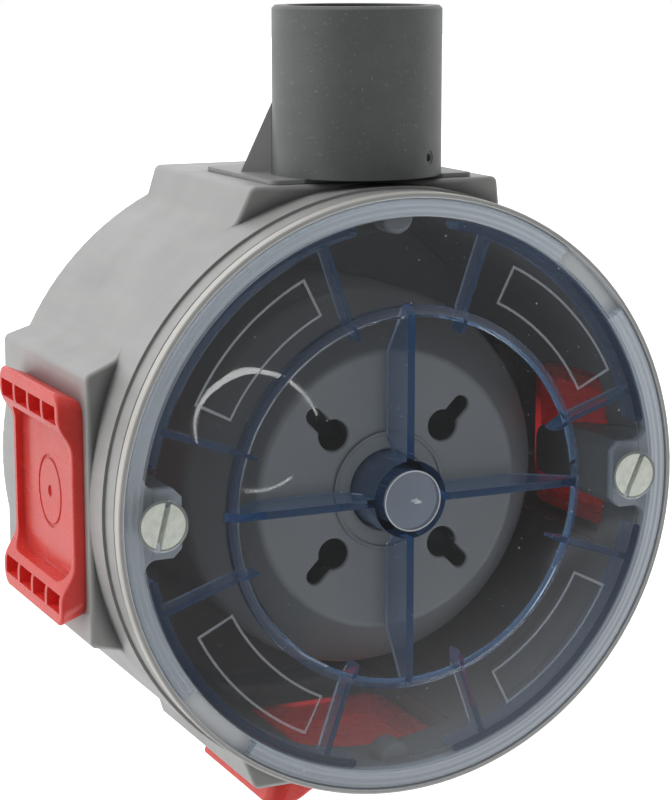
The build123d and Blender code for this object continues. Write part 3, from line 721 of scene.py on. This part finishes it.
def floor():
    """A wide pale floor, lower than the bottom plug can reach."""
    ring = ((-1, -1), (1, -1), (1, 1), (-1, 1))
    corners = [(x * FLOOR_HALF, y * FLOOR_HALF, FLOOR_Z) for x, y in ring]
    ground = stage_mesh("floor", corners, [(0, 1, 2, 3)], floor_paint())
    ground.visible_glossy = False
    ground.visible_transmission = False
    ground.visible_diffuse = False
    ground.visible_shadow = False


def shade_card():
    """A dark card behind the pedestal's disc, seen through the clear lid and in gloss: painted shade
    behind the keyholes.
    """
    turns = [2 * math.pi * k / CARD_STEPS for k in range(CARD_STEPS)]
    depth = BAND_Y + DISC_BACK + CARD_GAP
    points = [(KEYHOLE_FAR * math.cos(t), depth, KEYHOLE_FAR * math.sin(t)) for t in turns]
    material, tree, shader = new_material("shade_card_black")
    link(tree, SHADE_CARD_BLACK, shader.inputs["Base Color"])
    link(tree, 0.9, shader.inputs["Roughness"])
    card = stage_mesh("shade_card", points, [tuple(range(CARD_STEPS))], material)
    card.visible_camera = False
    card.visible_diffuse = False
    card.visible_shadow = False


def ring_light():
    """A small ring lamp whose mirror image is the broken white circle in the lid."""
    material, tree, shader = new_material("ring_lamp")
    glow = node(tree, "ShaderNodeEmission", Strength=LAMP_POWER)
    link(tree, glow, tree.nodes["Material Output"].inputs["Surface"])
    eye = bpy.context.scene.camera.matrix_world.translation
    leaving = LAMP_IMAGE - eye
    leaving.y = -leaving.y
    leaving.normalize()
    centre = LAMP_IMAGE + leaving * LAMP_DISTANCE
    along = (eye - LAMP_IMAGE).length
    radius = LAMP_IMAGE_R * (LAMP_DISTANCE + along) / along
    side = leaving.cross(Vector((0, 0, 1))).normalized()
    up = side.cross(leaving).normalized()
    points = []
    for k in range(LAMP_STEPS):
        turn = 2 * math.pi * k / LAMP_STEPS
        spoke = math.cos(turn) * side + math.sin(turn) * up
        thin = 0.0 if math.sin(3 * turn + 0.6) < 0.15 else 0.03
        band = radius * (0.115 * max(0, math.sin(turn + 0.3)) ** 3 + thin)
        points += [centre + spoke * (radius - band / 2), centre + spoke * (radius + band / 2)]
    count = len(points)
    faces = [(2 * k, 2 * k + 1, (2 * k + 3) % count, (2 * k + 2) % count) for k in range(LAMP_STEPS)]
    lamp = stage_mesh("ring_lamp", points, faces, material)
    lamp.visible_camera = False
    lamp.visible_diffuse = False
    lamp.visible_transmission = False
    lamp.visible_shadow = False


def lean(tree, direction, axis):
    """How far a direction points along an axis, -1 to 1."""
    dot = node(tree, "ShaderNodeVectorMath", operation="DOT_PRODUCT")
    link(tree, direction, dot.inputs[0])
    dot.inputs[1].default_value = Vector(axis).normalized()
    return dot.outputs["Value"]


def world():
    """A white studio: bright behind and at the sides, dim in front, brightest top left."""
    surroundings = bpy.data.worlds.new("studio")
    surroundings.use_nodes = True
    tree = surroundings.node_tree
    tree.nodes.clear()
    direction = node(tree, "ShaderNodeTexCoord").outputs["Generated"]
    front = remap(tree, lean(tree, direction, FRONT_AXIS), 0.05, 0.62, 1.0, FRONT_LEVEL, True)
    tilt = remap(tree, lean(tree, direction, BRIGHT_AXIS), -1, 1, 0.70, 1.35)
    patch = remap(tree, lean(tree, direction, PATCH_AXIS), 0.86, 0.97, 0.0, PATCH_LEVEL, True)
    studio = node(tree, "ShaderNodeBackground", Color=(1, 1, 1, 1))
    level = maths(tree, "ADD", product(tree, front, tilt), patch)
    link(tree, level, studio.inputs["Strength"])
    plain = node(tree, "ShaderNodeBackground", Color=(1, 1, 1, 1), Strength=1.0)
    path = node(tree, "ShaderNodeLightPath")
    out = node(tree, "ShaderNodeOutputWorld")
    link(tree, mix_shaders(tree, path.outputs["Is Camera Ray"], studio, plain), out.inputs["Surface"])
    bpy.context.scene.world = surroundings


wear("box_body", box_plastic())
wear("conduit_socket", socket_plastic())
wear("clear_lid", clear_plastic())
ZINC = zinc_plating()
RED = plug_plastic()
lid_screw("left", -SCREW_X, LEFT_SLOT_ANGLE, ZINC)
lid_screw("right", SCREW_X, RIGHT_SLOT_ANGLE, ZINC)
for side_name in ("left", "right", "bottom"):
    wear(side_name + "_plug", RED)

camera()
floor()
shade_card()
ring_light()
world()
bpy.context.scene.view_settings.view_transform = "Standard"
